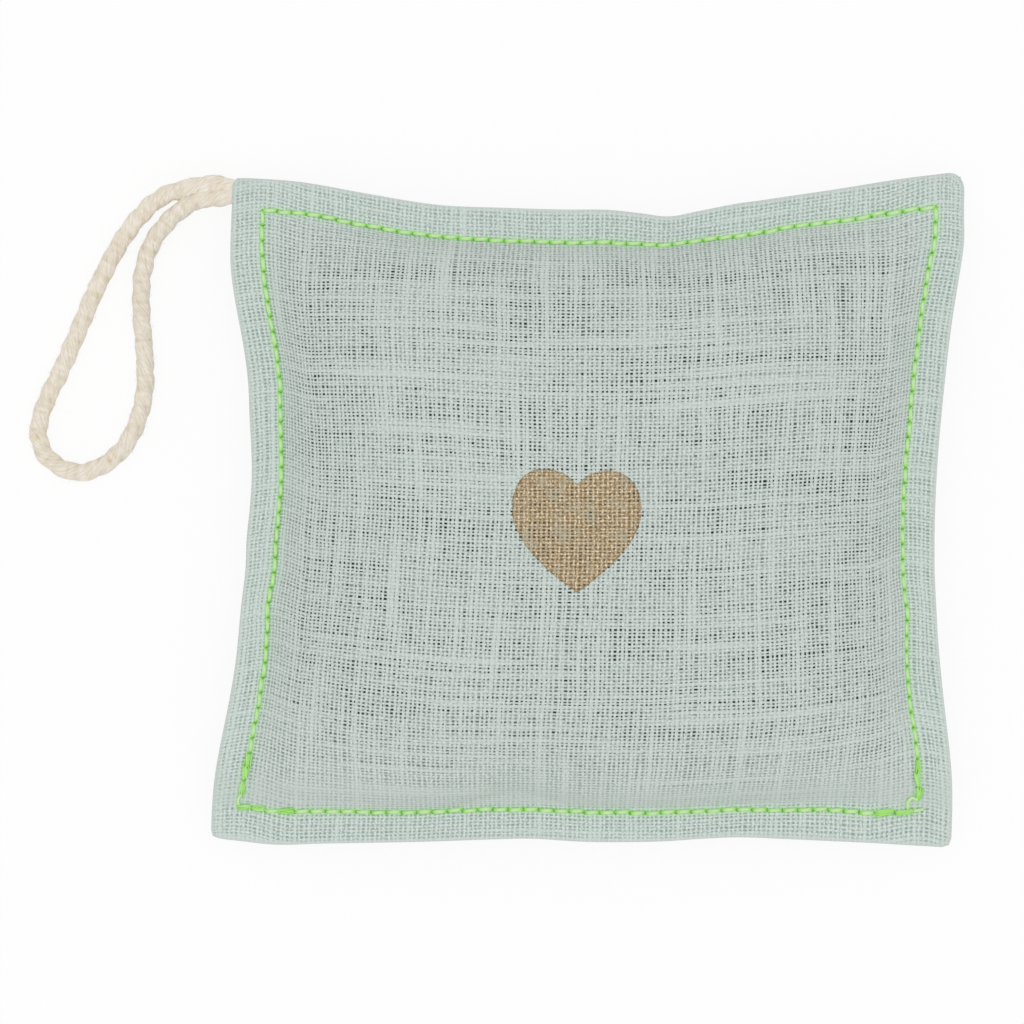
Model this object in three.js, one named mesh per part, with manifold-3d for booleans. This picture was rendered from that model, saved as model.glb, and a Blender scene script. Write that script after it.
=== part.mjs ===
// A scented sachet: two linen panels sewn together round a filling of dried lavender, with a hanging
// loop of twisted cotton cord caught in one corner and a gilt heart printed on the front.
// Millimetres, +Z up. It lies on its back on a table at z = 0, with +Y towards the edge that carries
// the loop, at its left end. The origin is on the table under the middle of the bag.

import * as THREE from "three";
import { mergeVertices } from "three/addons/utils/BufferGeometryUtils.js";
import Module from "manifold-3d";

const wasm = await Module();
wasm.setup();

// The bag sewn and turned, laid flat and empty
const BAG_WIDTH = 120.8;
const BAG_LENGTH = 109.1;
const LEAN = 1.3; // the top edge is sewn this far to the right of the middle, the bottom edge to the left
const TAPER = 0.35; // each end of the right side reaches this much further than the middle, the left less
const CORNER_RADIUS = 1.5;
const CLOTH = 0.4; // one ply of linen
const PLY_GAP = 0.6; // room left between the turned-in hems of the two panels
const STITCH_MARGIN = 5.2; // from the folded edge to the border stitching
const SHOULDER = 0.45; // flat cloth past the stitching, before the pad starts to rise

// The filled pad
const FRONT_CROWN = 13; // rise of the front over its border
const BACK_CROWN = 7.5; // drop of the back below its border, down to the table
const CROWN_POWER = 3.6; // a higher power gives a flatter top and steeper sides
const FOOT_SHARE = 0.6; // the back lies flat where the crown would be fuller than this share
const FOOT_PRESS = 0.5; // and where it would stand less than this above the table
const CORNER_DROOP = 3.5; // the empty corners sink by this much
const DROOP_POWER = 4;
const LEFT_PULL = 4.9; // how far the filling draws each side in at its middle
const RIGHT_PULL = 3.6;
const TOP_PULL = 5.8;
const BOTTOM_PULL = 0.5;
const SIDE_PULL_POWER = 2; // a higher power keeps the pull nearer the middle of the side
const END_PULL_POWER = 1.4;

// Sewing
const STITCH_LENGTH = 2.5;
const TOP_THREAD = 0.5; // thread of the border stitching
const THREAD_WAIST = 0.5; // share of its thickness where it dives into the cloth
const BACK_TACK = 3; // stitches sewn over again at each end of a run
const BACK_TACK_GROWTH = 1.4;
const SEAM_THREAD = 0.3; // thread of the hidden seam along the folded edge
const SEAM_INSET = 0.45;
const SEAM_CORNER = 0.5; // the hidden seam cuts each corner by this much
const SEAM_STEP = 6;

// Hanging loop
const CORD = 2.5;
const LEG_GAP = 0.4; // between the two legs where they leave the corner
const HINGE_OFFSET = 2.7; // from the folded edge out to where the loop bends
const CORD_ENDS = 1.6; // thickness of the two ends, crushed together between the panels
const EDGE_ROLL = 0.9; // from the top edge to where the panels part round the cord's ends
const TABLE_GAP = 0.1; // the lying cord clears the table by a hair
const CORD_SIDES = 8;
const CORD_STEPS = 60;

// Printed heart
const HEART_WIDTH = 20.8;
const HEART_HEIGHT = 20;
const HEART_X = -2;
const HEART_Y = -2.9;
const PRINT = 0.12;

// Clearances
const THREAD_FIT = 0.15; // threads and print to the cloth
const CLEAR = 0.3; // filling and cord to what is round them

const POCKET_CELLS = 7; // grid cells from the middle of the pad to each side
const RIM_CELLS = 2; // the filling stops short of the seam by this many of them
const MERGE_WITHIN = 1e-4; // corners closer than this are one corner

const halfWidth = BAG_WIDTH / 2;
const halfLength = BAG_LENGTH / 2;
const border = STITCH_MARGIN + SHOULDER;
const hem = 2 * CLOTH; // a panel and its turned-in hem
const seamHeight = BACK_CROWN + hem + PLY_GAP / 2; // middle of the border above the table

// The cord's ends lie in the border, between the rolled edge and the stitching
const tunnelEnd = STITCH_MARGIN - 2 * TOP_THREAD;
const tunnelFoot = STITCH_MARGIN - TOP_THREAD / 2 - THREAD_FIT;
const tunnelRise = CORD_ENDS / 2 + THREAD_FIT - PLY_GAP / 2;
const mouthMiddle = (EDGE_ROLL + tunnelEnd) / 2;

const clamp01 = (x) => Math.min(1, Math.max(0, x));

// A place on the flat cloth, a across and b along it from the middle, seen from above on the filled bag
function plan(a, b) {
  let inA = halfWidth - Math.abs(a);
  let inB = halfLength - Math.abs(b);
  if (inA < CORNER_RADIUS && inB < CORNER_RADIUS) {
    const shrink = CORNER_RADIUS / Math.hypot(CORNER_RADIUS - inA, CORNER_RADIUS - inB);
    if (shrink < 1) {
      inA = CORNER_RADIUS - (CORNER_RADIUS - inA) * shrink;
      inB = CORNER_RADIUS - (CORNER_RADIUS - inB) * shrink;
    }
  }
  const across = Math.sign(a) * (halfWidth - inA);
  const along = Math.sign(b) * (halfLength - inB);
  const s = across / halfWidth;
  const t = along / halfLength;
  const sidePull = Math.cos((Math.min(1, Math.abs(t)) * Math.PI) / 2) ** SIDE_PULL_POWER;
  const endPull = Math.cos((Math.min(1, Math.abs(s)) * Math.PI) / 2) ** END_PULL_POWER;
  const leftShare = (1 - s) / 2;
  const topShare = (1 + t) / 2;
  return {
    x: across + LEAN * t + sidePull * (LEFT_PULL * leftShare - RIGHT_PULL * (1 - leftShare)),
    y: along + TAPER * s * t - endPull * (TOP_PULL * topShare - BOTTOM_PULL * (1 - topShare)),
  };
}

// Height of the middle of the border, which sinks towards the corners
function borderHeight(a, b) {
  const s = Math.abs(a) / halfWidth;
  const t = Math.abs(b) / halfLength;
  return seamHeight - CORNER_DROOP * (s * t) ** DROOP_POWER;
}

// How full the pad is: nothing on the border, 1 in the middle
function fullness(a, b) {
  const s = Math.abs(a) / (halfWidth - border);
  const t = Math.abs(b) / (halfLength - border);
  return clamp01(1 - s ** CROWN_POWER) * clamp01(1 - t ** CROWN_POWER);
}

// The two panels part round the cord's ends in the top left corner
function tunnel(a, b) {
  const fromLeft = halfWidth + a;
  const fromTop = halfLength - b;
  const fall = tunnelFoot - tunnelEnd;
  const rolled = clamp01(fromTop / EDGE_ROLL) * clamp01((tunnelFoot - fromTop) / fall);
  return tunnelRise * rolled * clamp01((tunnelFoot - fromLeft) / fall);
}

function plyThickness(a, b) {
  const onBorder = halfWidth - Math.abs(a) < border + CLEAR || halfLength - Math.abs(b) < border + CLEAR;
  return onBorder ? hem : CLOTH;
}

function frontOutside(a, b) {
  return borderHeight(a, b) + PLY_GAP / 2 + hem + tunnel(a, b) + FRONT_CROWN * fullness(a, b);
}

function backOutside(a, b) {
  const under = borderHeight(a, b) - PLY_GAP / 2 - hem - tunnel(a, b);
  const short = 1 - clamp01(fullness(a, b) / FOOT_SHARE);
  const height = under * short ** 2;
  return height < FOOT_PRESS ? 0 : height;
}

const frontInside = (a, b) => frontOutside(a, b) - plyThickness(a, b);
const backInside = (a, b) => backOutside(a, b) + plyThickness(a, b);

// Grid lines across the cloth: close on the border and the shoulders of the pad, wide in the middle
function gridLines(half) {
  const lines = [0, EDGE_ROLL, tunnelEnd, tunnelFoot].map((inset) => half - inset);
  for (let i = POCKET_CELLS; i > 0; i--) {
    lines.push((half - border) * Math.sin((Math.PI / 2) * (i / POCKET_CELLS)));
  }
  return [...lines.map((line) => -line), 0, ...lines.reverse()];
}

const linesAcross = gridLines(halfWidth);
const linesAlong = gridLines(halfLength);

// A closed solid between two heights over the cells of a grid on the cloth
function quilt(acrossLines, alongLines, top, bottom) {
  const columns = acrossLines.length;
  const rows = alongLines.length;
  const count = columns * rows;
  const position = [];
  for (const height of [top, bottom]) {
    for (const b of alongLines) {
      for (const a of acrossLines) {
        const { x, y } = plan(a, b);
        position.push(x, y, height(a, b));
      }
    }
  }
  const index = [];
  const quad = (p, q, r, s) => index.push(p, q, r, p, r, s);
  for (let j = 0; j < rows - 1; j++) {
    for (let i = 0; i < columns - 1; i++) {
      const p = j * columns + i;
      const corners = [p, p + 1, p + columns + 1, p + columns];
      const turned = acrossLines[i] + acrossLines[i + 1] > 0 === alongLines[j] + alongLines[j + 1] > 0;
      const [k, l, m, n] = turned ? [...corners.slice(1), corners[0]] : corners;
      quad(k, l, m, n);
      quad(k + count, n + count, m + count, l + count);
    }
  }
  const rim = [];
  for (let i = 0; i < columns - 1; i++) rim.push(i);
  for (let j = 0; j < rows - 1; j++) rim.push(j * columns + columns - 1);
  for (let i = columns - 1; i > 0; i--) rim.push((rows - 1) * columns + i);
  for (let j = rows - 1; j > 0; j--) rim.push(j * columns);
  rim.forEach((p, k) => {
    const next = rim[(k + 1) % rim.length];
    quad(p + count, next + count, next, p);
  });
  return meshGeometry(position, index);
}

function meshGeometry(position, index) {
  const geometry = new THREE.BufferGeometry();
  geometry.setAttribute("position", new THREE.Float32BufferAttribute(position, 3));
  geometry.setIndex(index);
  geometry.computeVertexNormals();
  return geometry;
}

// A thread of four flat sides through rings, each a place and a radius
function threadAlong(rings) {
  const position = [];
  const index = [];
  rings.forEach(({ at, radius }, i) => {
    const before = rings[Math.max(0, i - 1)].at;
    const after = rings[Math.min(rings.length - 1, i + 1)].at;
    const ahead = after.clone().sub(before).setZ(0).normalize();
    const side = new THREE.Vector3(-ahead.y, ahead.x, 0);
    const up = new THREE.Vector3(0, 0, 1);
    for (const way of [side, up, side.clone().negate(), up.clone().negate()]) {
      const p = at.clone().addScaledVector(way, radius);
      position.push(p.x, p.y, p.z);
    }
    if (i === 0) return;
    for (let k = 0; k < 4; k++) {
      const p = (i - 1) * 4 + k;
      const q = (i - 1) * 4 + ((k + 1) % 4);
      index.push(p, q, q + 4, p, q + 4, p + 4);
    }
  });
  const last = (rings.length - 1) * 4;
  index.push(0, 2, 1, 0, 3, 2);
  index.push(last, last + 1, last + 2, last, last + 2, last + 3);
  return meshGeometry(position, index);
}

// Places along straight lines between corners on the cloth, a whole number of steps to each line
function placesAlong(corners, step) {
  const places = [corners[0]];
  for (let i = 1; i < corners.length; i++) {
    const [a0, b0] = corners[i - 1];
    const [a1, b1] = corners[i];
    const steps = Math.max(1, Math.round(Math.hypot(a1 - a0, b1 - b0) / step));
    for (let k = 1; k <= steps; k++) {
      places.push([a0 + ((a1 - a0) * k) / steps, b0 + ((b1 - b0) * k) / steps]);
    }
  }
  return places;
}

// A run of lockstitch on one face of the border: thick in the middle of each stitch, thin at its ends
function stitching(corners, outside, face) {
  const places = placesAlong(corners, STITCH_LENGTH / 2);
  const rings = places.map(([a, b], i) => {
    const stitchesLeft = Math.min(i, places.length - 1 - i) / 2;
    const growth = stitchesLeft < BACK_TACK ? BACK_TACK_GROWTH : 1;
    const share = i % 2 ? 1 : THREAD_WAIST;
    const radius = (TOP_THREAD / 2) * share * growth;
    const { x, y } = plan(a, b);
    return { at: new THREE.Vector3(x, y, outside(a, b) + face * (THREAD_FIT + radius)), radius };
  });
  return threadAlong(rings);
}

// The hidden seam along the folded edge of the sides and the top, between the two hems
function edgeSeam() {
  const a = halfWidth - SEAM_INSET;
  const b = halfLength - SEAM_INSET;
  const corners = [
    [-a, -b],
    [-a, b - SEAM_CORNER],
    [-a + SEAM_CORNER, b],
    [a - SEAM_CORNER, b],
    [a, b - SEAM_CORNER],
    [a, -b],
  ];
  const rings = placesAlong(corners, SEAM_STEP).map(([u, v]) => {
    const { x, y } = plan(u, v);
    return { at: new THREE.Vector3(x, y, borderHeight(u, v)), radius: SEAM_THREAD / 2 };
  });
  return threadAlong(rings);
}

function toSolid(geometry) {
  const bare = geometry.clone();
  bare.deleteAttribute("normal");
  bare.deleteAttribute("uv");
  const merged = mergeVertices(bare, MERGE_WITHIN);
  return new wasm.Manifold(
    new wasm.Mesh({
      numProp: 3,
      vertProperties: new Float32Array(merged.attributes.position.array),
      triVerts: new Uint32Array(merged.index.array),
    }),
  );
}

function toGeometry(solid) {
  const { vertProperties, triVerts } = solid.getMesh();
  return meshGeometry(Array.from(vertProperties), Array.from(triVerts));
}

// The two ends of the cord, crushed side by side in the border, with the hidden seam sewn through them
function cordEnds() {
  const outer = -halfWidth - (HINGE_OFFSET - CORD / 2 - CLEAR);
  const inner = -halfWidth + tunnelEnd - CLEAR;
  const middle = halfLength - mouthMiddle;
  const halfSpan = mouthMiddle - EDGE_ROLL;
  const acrossLines = [outer, -halfWidth, inner];
  const alongLines = [-1, -0.85, -0.5, 0, 0.5, 0.85, 1].map((share) => middle + halfSpan * share);
  const edgeRound = 0.9; // 1 would bring the section of the crushed ends to a sharp edge
  const halfThick = (b) => (CORD_ENDS / 2) * Math.sqrt(1 - edgeRound * ((b - middle) / halfSpan) ** 2);
  const level = (a, b) => borderHeight(Math.max(a, -halfWidth), b);
  const body = quilt(
    acrossLines,
    alongLines,
    (a, b) => level(a, b) + halfThick(b),
    (a, b) => level(a, b) - halfThick(b),
  );
  const { x, y } = plan(-halfWidth + SEAM_INSET, middle);
  const bore = SEAM_THREAD + 4 * THREAD_FIT;
  const slit = new THREE.BoxGeometry(bore, 3 * halfSpan, bore);
  slit.translate(x, y, borderHeight(-halfWidth + SEAM_INSET, middle));
  return toGeometry(toSolid(body).subtract(toSolid(slit)));
}

// The loop's route from its upper leg round to its lower one: millimetres from the middle of the bend
// at the corner, and the share of the way up from the table to the height of that bend
const LOOP_ROUTE = [
  [-2.2, 1.5, 0.97],
  [-5.0, 0.8, 0.8],
  [-8.4, -0.7, 0.5],
  [-11.6, -3.6, 0.22],
  [-15.0, -7.9, 0.05],
  [-18.3, -14.1, 0],
  [-21.6, -21.6, 0],
  [-24.8, -29.4, 0],
  [-27.5, -34.8, 0],
  [-28.5, -38.9, 0],
  [-27.4, -42.7, 0],
  [-24.8, -45.1, 0],
  [-21.5, -45.7, 0],
  [-18.3, -44.8, 0],
  [-14.7, -41.8, 0],
  [-12.3, -37.9, 0],
  [-11.0, -32.6, 0],
  [-11.0, -26.1, 0],
  [-11.5, -19.1, 0],
  [-11.4, -13.6, 0.02],
  [-9.9, -8.4, 0.12],
  [-7.0, -4.5, 0.42],
  [-3.8, -2.3, 0.82],
  [-1.6, -1.6, 0.97],
];

const mouth = plan(-halfWidth, halfLength - mouthMiddle);
const bend = new THREE.Vector3(
  mouth.x - HINGE_OFFSET,
  mouth.y,
  borderHeight(-halfWidth, halfLength - mouthMiddle),
);
const lyingHeight = CORD / 2 + TABLE_GAP;

function loopPoint([dx, dy, rise]) {
  return new THREE.Vector3(bend.x + dx, bend.y + dy, lyingHeight + (bend.z - lyingHeight) * rise);
}

function hangingLoop() {
  const legs = (CORD + LEG_GAP) / 2;
  const route = [[0, legs, 1], ...LOOP_ROUTE, [0, -legs, 1]].map(loopPoint);
  const section = new THREE.Shape();
  for (let k = 0; k < CORD_SIDES; k++) {
    const turn = ((k + 0.5) / CORD_SIDES) * 2 * Math.PI;
    const corner = [(Math.cos(turn) * CORD) / 2, (Math.sin(turn) * CORD) / 2];
    if (k === 0) section.moveTo(...corner);
    else section.lineTo(...corner);
  }
  const tube = new THREE.ExtrudeGeometry(section, {
    steps: CORD_STEPS,
    bevelEnabled: false,
    extrudePath: new THREE.CatmullRomCurve3(route),
  });
  let cord = toSolid(tube);
  for (const end of [route[0], route[route.length - 1]]) {
    const round = new THREE.SphereGeometry(CORD / 2, CORD_SIDES + 2, CORD_SIDES - 2);
    round.translate(end.x, end.y, end.z);
    cord = cord.add(toSolid(round));
  }
  return toGeometry(cord);
}

// The heart: a film that follows the crown, cut by the outline of the figure
function heartPrint() {
  const w = HEART_WIDTH / 2;
  const h = HEART_HEIGHT / 2;
  const heart = new THREE.Shape();
  heart.moveTo(0, 0.74 * h);
  heart.bezierCurveTo(0.25 * w, 1.12 * h, w, 1.18 * h, w, 0.33 * h);
  heart.bezierCurveTo(w, -0.18 * h, 0.46 * w, -0.66 * h, 0, -h);
  heart.bezierCurveTo(-0.46 * w, -0.66 * h, -w, -0.18 * h, -w, 0.33 * h);
  heart.bezierCurveTo(-w, 1.18 * h, -0.25 * w, 1.12 * h, 0, 0.74 * h);
  const column = new THREE.ExtrudeGeometry(heart, {
    depth: 2 * (seamHeight + FRONT_CROWN),
    bevelEnabled: false,
    curveSegments: 8,
  });
  column.translate(HEART_X, HEART_Y, 0);
  const film = quilt(
    linesAcross.filter((a) => Math.abs(a) < halfWidth - border),
    linesAlong.filter((b) => Math.abs(b) < halfLength - border),
    (a, b) => frontOutside(a, b) + THREAD_FIT + PRINT,
    (a, b) => frontOutside(a, b) + THREAD_FIT,
  );
  return toGeometry(toSolid(film).intersect(toSolid(column)));
}

function lavenderFill() {
  const skipped = linesAcross.length - 1 - 2 * POCKET_CELLS; // grid cells on the two borders
  const first = skipped / 2 + RIM_CELLS;
  return quilt(
    linesAcross.slice(first, -first),
    linesAlong.slice(first, -first),
    (a, b) => frontInside(a, b) - CLEAR,
    (a, b) => backInside(a, b) + CLEAR,
  );
}

const linen = new THREE.MeshStandardMaterial({ color: 0xc3d1ca, roughness: 0.9 });
const lavender = new THREE.MeshStandardMaterial({ color: 0x5d5a6b, roughness: 0.95 });
const greenThread = new THREE.MeshStandardMaterial({ color: 0xa5eb73, roughness: 0.6 });
const paleThread = new THREE.MeshStandardMaterial({ color: 0xd6dfd8, roughness: 0.7 });
const cotton = new THREE.MeshStandardMaterial({ color: 0xe6decb, roughness: 0.9 });
const gilt = new THREE.MeshStandardMaterial({ color: 0xb49c6c, roughness: 0.45, metalness: 0.5 });

const sachet = new THREE.Group();

function addPiece(name, geometry, material) {
  const mesh = new THREE.Mesh(geometry, material);
  mesh.name = name;
  sachet.add(mesh);
}

addPiece("front_panel", quilt(linesAcross, linesAlong, frontOutside, frontInside), linen);
addPiece("back_panel", quilt(linesAcross, linesAlong, backInside, backOutside), linen);
addPiece("lavender_fill", lavenderFill(), lavender);

const stitchA = halfWidth - STITCH_MARGIN;
const stitchB = halfLength - STITCH_MARGIN;
const runGap = 2 * BACK_TACK_GROWTH * TOP_THREAD; // keeps the ends of the two runs apart
const borderRun = [
  [-stitchA, -stitchB + runGap],
  [-stitchA, stitchB],
  [stitchA, stitchB],
  [stitchA, -stitchB + runGap],
];
const closingRun = [
  [-stitchA, -stitchB],
  [stitchA, -stitchB],
];
addPiece("border_needle_thread", stitching(borderRun, frontOutside, 1), greenThread);
addPiece("border_bobbin_thread", stitching(borderRun, backOutside, -1), greenThread);
addPiece("closing_needle_thread", stitching(closingRun, frontOutside, 1), greenThread);
addPiece("closing_bobbin_thread", stitching(closingRun, backOutside, -1), greenThread);
addPiece("edge_seam_thread", edgeSeam(), paleThread);
addPiece("cord_ends", cordEnds(), cotton);
addPiece("hanging_loop", hangingLoop(), cotton);
addPiece("heart_print", heartPrint(), gilt);

export default sachet;
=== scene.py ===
# A scented sachet: a linen bag of dried lavender with a gilt heart printed on its front, a border
# stitched in green thread and a hanging loop of twisted cotton cord, dressed over its CAD frame.
# It lies on its back with +Z up. Lengths are in millimetres until a mesh is made from them.

import math

import bpy
import numpy as np
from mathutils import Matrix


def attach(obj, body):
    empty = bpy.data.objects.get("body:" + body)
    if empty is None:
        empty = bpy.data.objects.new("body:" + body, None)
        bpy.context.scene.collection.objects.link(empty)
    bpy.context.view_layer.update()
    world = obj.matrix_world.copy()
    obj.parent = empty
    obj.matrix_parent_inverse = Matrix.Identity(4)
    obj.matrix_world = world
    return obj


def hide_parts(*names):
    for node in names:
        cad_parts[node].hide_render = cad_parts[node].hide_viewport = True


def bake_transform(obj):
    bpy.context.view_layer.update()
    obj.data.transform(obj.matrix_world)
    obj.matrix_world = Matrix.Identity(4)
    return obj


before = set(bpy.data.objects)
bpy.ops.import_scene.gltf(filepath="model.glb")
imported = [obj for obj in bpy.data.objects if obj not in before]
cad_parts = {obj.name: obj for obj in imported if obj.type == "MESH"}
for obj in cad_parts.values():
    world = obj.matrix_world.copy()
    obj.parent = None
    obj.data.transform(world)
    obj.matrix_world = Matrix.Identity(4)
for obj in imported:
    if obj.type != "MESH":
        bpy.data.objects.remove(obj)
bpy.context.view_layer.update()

MM = 0.001
SEED = 17
draw = np.random.default_rng(SEED)

# The bag sewn and turned, laid flat and empty
BAG_WIDTH = 120.8
BAG_LENGTH = 109.1
LEAN = 1.3  # the top edge is sewn this far to the right of the middle, the bottom edge to the left
TAPER = 0.35  # each end of the right side reaches this much further than the middle, the left less
CORNER_RADII = {(-1, 1): 1.0, (1, 1): 3.0, (1, -1): 1.7, (-1, -1): 1.4}  # by side: right, top
CLOTH = 0.3  # one ply of linen
FOLD = 0.38  # radius of a panel's folded edge
HEM = 8.0  # turned in behind the folded edge
PLY_GAP = 0.04  # from the hem to the middle of the border
STITCH_MARGIN = 5.2  # from the folded edge to the border stitching
SHOULDER = 0.45  # flat cloth past the stitching, before the pad starts to rise

# The filled pad
SEAM_HEIGHT = 8.6  # middle of the border above the table
FRONT_CROWN = 13.0
SIDE_POWER = 3.6  # a higher power gives a flatter top and steeper sides
END_POWER = 4.2
FOOT_SHARE = 0.6  # the back lies flat where the crown would be fuller than this share
TABLE_GAP = 0.05
CORNER_DROOP = 3.5
DROOP_POWER = 4
LEFT_PULL = 4.9  # how far the filling draws each side in at its middle
RIGHT_PULL = 3.6
TOP_PULL = 5.8
BOTTOM_PULL = 0.5
SIDE_PULL_POWER = 2
END_PULL_POWER = 1.4
LUMP = 0.12  # the buds show through as faint lumps
LUMP_WAVES = 7
LUMP_LENGTHS = (9, 24)

# How far each edge lies outside its smooth curve, by the place along it
EDGE_SETS = {
    "top": [
        (-60, 0.2), (-49, 0.45), (-38, 0.0), (-26, -0.4), (-15, 0.15), (-5, 0.35), (2, 0.3), (7, -0.4),
        (12, -1.3), (17, -0.75), (23, -0.15), (28, -0.1), (39, 0.0), (49, 0.3), (57, 0.55),
    ],
    "bottom": [
        (-60, 0.0), (-56, 0.45), (-50, 1.05), (-42, 0.85), (-31, 0.65), (-23, 0.5), (-14, 0.25), (-8, 0.15),
        (0, 0.6), (6, 0.65), (14, 0.4), (20, -0.1), (26, -0.4), (34, -0.15), (41, 0.15), (47, 0.35),
        (60, 1.0),
    ],
    "left": [
        (-54, 0.45), (-45, 0.4), (-38, 0.0), (-33, -0.3), (-26, -0.4), (-17, 0.0), (-10, 0.1), (-5, 0.35),
        (1, 0.0), (6, -0.25), (15, -0.35), (21, -0.65), (27, -0.55), (32, -0.2), (36, 0.05), (40, 0.15),
        (43.5, -0.05), (47.5, -0.35), (54, -0.7),
    ],
    "right": [
        (-54, 0.7), (-44, 0.65), (-37, 0.3), (-29, 0.0), (-20, -0.2), (-12, -0.1), (0, 0.1), (15, 0.1),
        (30, 0.0), (36, 0.25), (43, 0.6), (48, 0.25), (54, 0.2),
    ],
}
EDGE_REACH = 11.0  # how far in from the edge such a place is felt
# How far the stitching is drawn in further than the edge beside it
SEAM_SETS = {
    "top": [
        (-60, 0.0), (-47, 0.0), (-38, 0.35), (-25, 0.45), (5, 0.45), (13, -0.05), (19, 0.3), (25, 0.5),
        (31, 0.1), (45, 0.35), (60, 0.0),
    ],
    "bottom": [
        (-60, -0.1), (-43, 0.0), (-28, -0.2), (-15, 0.15), (0, 0.2), (14, 0.2), (22, 0.1), (32, 0.45),
        (42, 0.95), (60, 0.4),
    ],
    "left": [
        (-54, 0.1), (-35, 0.2), (-22, 0.0), (-15, -0.4), (-9, 0.0), (5, 0.2), (18, 0.5), (27, 0.55),
        (35, 0.35), (54, 0.0),
    ],
    "right": [
        (-54, 0.0), (-40, -0.4), (-32, 0.15), (-25, 0.1), (-17, -0.4), (-10, 0.1), (10, 0.15), (28, 0.15),
        (40, 0.0), (46, -0.6), (54, -0.6),
    ],
}
SEAM_REACH = 4.0
SET_STEP = 0.5
SHELF_X = -10.7  # over the bottom stitching the pad starts late here
SHELF_WIDTH = 6.5
SHELF_DEPTH = 0.045

# A panel's grid on the flat cloth: even lines, and closer ones by their distance from the fold
GRID = 0.5
FIRST_LINE = 1.2  # from the fold to the first even line
FOLD_LINES = np.array([-HEM, -5.6, -3.4, -1.8, -0.9, *[k * FOLD / 2 for k in range(-3, 4)], 0.8])

# Border stitching
STITCH = 2.5
THREAD = 0.66
GROOVE_DEPTH = 0.1  # the thread pulls the cloth down along the seam
GROOVE_WIDTH = 0.9
DIMPLE = 0.08  # and further at each needle hole
DIMPLE_POWER = 3  # a higher power keeps a dimple closer to its hole
PUCKER = 0.05
PUCKER_REACH = 2.2

# Where the linen's look changes, by the distance in from a seam or a fold; the darkness of its gaps is
# painted shade
PAD_STARTS = (0.2, 2.5)  # the cloth leaves the border
GAP_SHADE_DEEPENS = (1.5, 9.5)  # the filling comes to show in its gaps
BOTTOM_LAG = 0.48  # from the bottom seam it comes at this share of that rate
HEM_GAP_SHADE = 0.22  # how dark the gaps over the hem are
TOP_PALER = 0.12  # and how much less along the top
TOP_BLEND = 1.0  # to either side of the top stitching
FOLD_ENDS = (0.5, 1.1)  # the grey of the folded edge fades out
STEEP_FROM = (0.0, 1.0)  # over the bottom seam the cloth gets steep
STEEP_TO = (3.0, 8.0)  # and levels out
# The thread's green on the cloth beside the seam is painted light
GREEN_BOUNCE = 0.28  # share of the thread's green that falls on the cloth beside it
GREEN_BOUNCE_REACH = 0.6

# Hanging loop
CORD_LAY = 11.6  # length of one full turn of a strand
STRANDS = 3
STRAND = 1.1  # radius of a strand, pressed into the others
STRAND_OFFSET = 0.42  # from the middle of the cord to the middle of a strand
VALLEY = (1.15, 1.36)  # from the middle of the cord to the valleys between strands and to their tops
SWELLS = ((0.04, 0.9, 2.1), (0.03, 2.3, 1.0))  # share, radians a millimetre, radians from strand to strand
YARNS = 7  # fine yarns that show round a strand
YARN_RELIEF = 0.035
YARN_TURN = 0.5  # turns of a yarn round its strand for each turn of the strand
LOOSE_END = 0.1  # the strands swell by this share where they come out of the seam
LOOSE_AT = 9.0  # this far from the cord's ends
LOOSE_REACH = 4.0
BEND = np.array([-61.834, 51.666, 5.710])  # where the loop bends at the corner
LYING_HEIGHT = 1.66
MOUTH_RISE = 0.62  # each panel lifts by this much over the cord's ends
MOUTH_DEPTH = 4.6
MOUTH_END = 1.8  # length over which it closes again inside the bag
MOUTH_OPENS = (0.0, 1.3)  # from the top edge
MOUTH_CLOSES = (3.6, 4.8)
CRUSH = 0.42  # the cord's ends are flattened to this share in the seam
CRUSH_FADES = (4.0, 14.0)  # from the end of the cord
NARROWED = 0.75  # and squeezed sideways to this share
NARROW_FADES = (3.0, 7.5)
FRAYED = 0.06  # their last fibres thin out to this share
FRAY_FADES = (0.0, 3.0)

# Printed heart
HEART_WIDTH = 20.8
HEART_HEIGHT = 20.0
HEART_X = -2.1
HEART_Y = -3.55
HEART_POINTS = 240
HEART_RINGS = 20
LOBE_DROP = 0.03  # the right lobe is printed a little lower than the left
RAGGED = 0.04  # the edge of the print strays by this much
PRINT = 0.05
PRINT_UNDER = 0.01  # from the cloth to the underside of the film

# Linen yarns: the warp runs along the bag, the weft across it
WARP_PITCH = 0.765
WEFT_PITCH = 0.575
WARP_RUN = 25.0  # a yarn keeps about the same thickness over this length
WEFT_RUN = 45.45
WARP_SLUB = 0.13  # a slub is this share of the pitch thicker to each side
WEFT_SLUB = 0.34
WARP_HALF = 0.215  # half the width of a thin yarn, as a share of the pitch
WEFT_HALF = 0.22
CRIMP = 0.3  # share of a yarn's relief that comes from going over and under
DRAG = 1.4  # how far sewing dragged the weft along the side seams
DRAG_REACH = 9.0
FLAT_SPAN = 140.0  # the flat cloth with its hems fits in a square this wide

half_width = BAG_WIDTH / 2
half_length = BAG_LENGTH / 2
border = STITCH_MARGIN + SHOULDER
stitch_a = half_width - STITCH_MARGIN
stitch_b = half_length - STITCH_MARGIN
fold_arc = FOLD * math.pi / 2
fold_a = half_width + fold_arc - FOLD  # the fold on the flat cloth, whose turn uses up a little of it
fold_b = half_length + fold_arc - FOLD


def smooth(low, high, x):
    t = np.clip((x - low) / (high - low), 0, 1)
    return t * t * (3 - 2 * t)


def unit(v):
    return v / np.maximum(np.linalg.norm(v, axis=-1, keepdims=True), 1e-12)


def linear(hex_colour):
    """An sRGB hex colour as linear RGBA."""
    parts = [int(hex_colour[i : i + 2], 16) / 255 for i in (1, 3, 5)]
    return (*[c / 12.92 if c <= 0.04045 else ((c + 0.055) / 1.055) ** 2.4 for c in parts], 1.0)


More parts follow.
